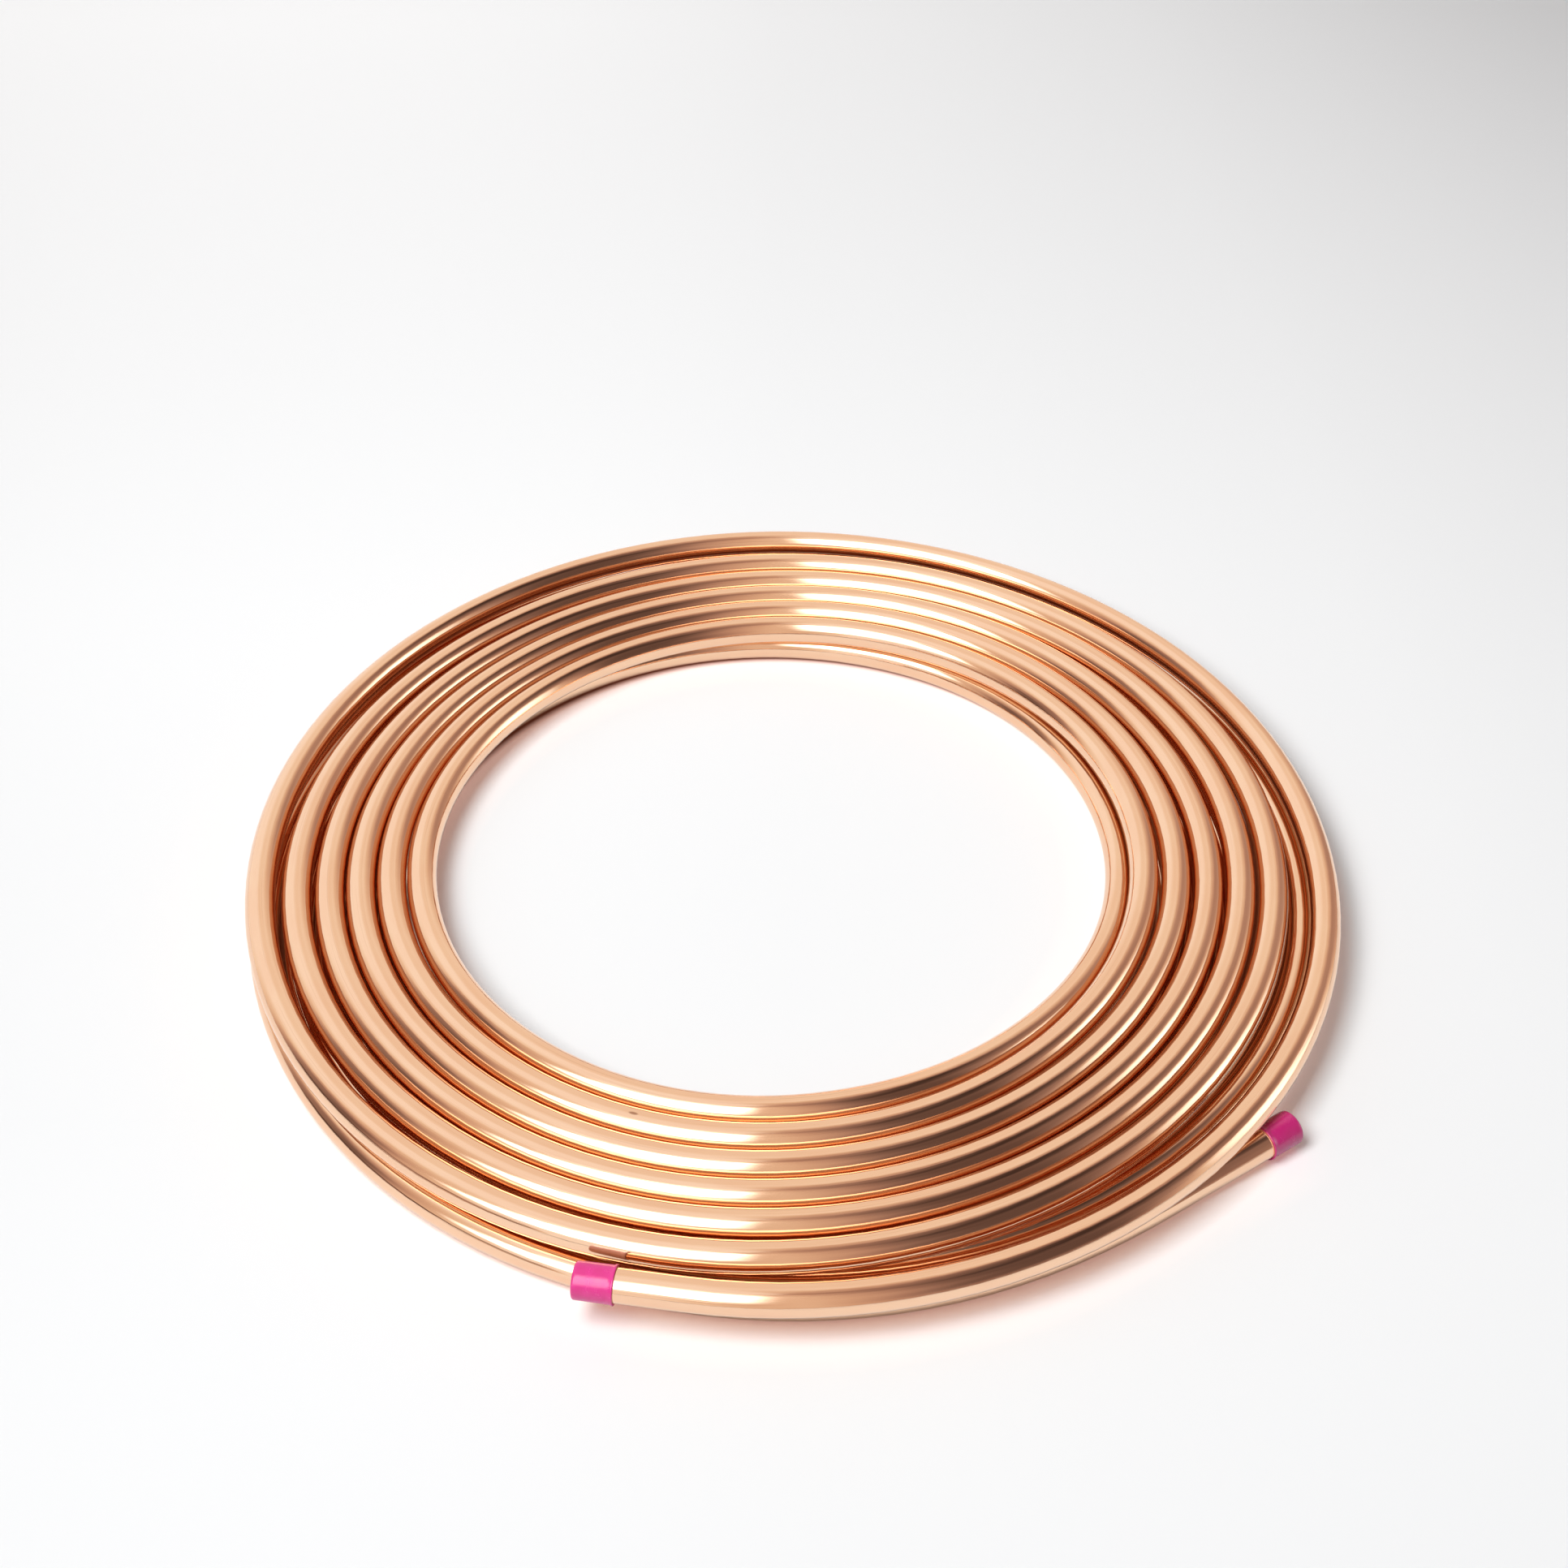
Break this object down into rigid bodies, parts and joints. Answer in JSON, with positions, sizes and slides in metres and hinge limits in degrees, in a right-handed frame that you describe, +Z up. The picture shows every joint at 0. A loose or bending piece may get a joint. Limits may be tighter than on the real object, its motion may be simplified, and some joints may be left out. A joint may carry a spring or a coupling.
{
  "type": "copper tube coil",
  "caption": "Flat two-layer coil of soft copper tube lying on its side, with a push-on vinyl cap on each free end.",
  "frame": {"origin": "on the floor, under the middle of the box that holds the whole coil", "axes": "+Z up along the coil's axis; -Y is the front, where the upper layer's capped end lies; the lower layer's capped end is at the front right"},
  "size_m": [0.4764, 0.4866, 0.0268],
  "materials": {
    "copper": "bright drawn copper, satin along its length",
    "cap": "soft magenta vinyl with a waxy sheen"
  },
  "bodies": {
    "root": {"copper_tube": "copper", "end_cap_lower": "cap", "end_cap_upper": "cap"}
  },
  "joints": []
}
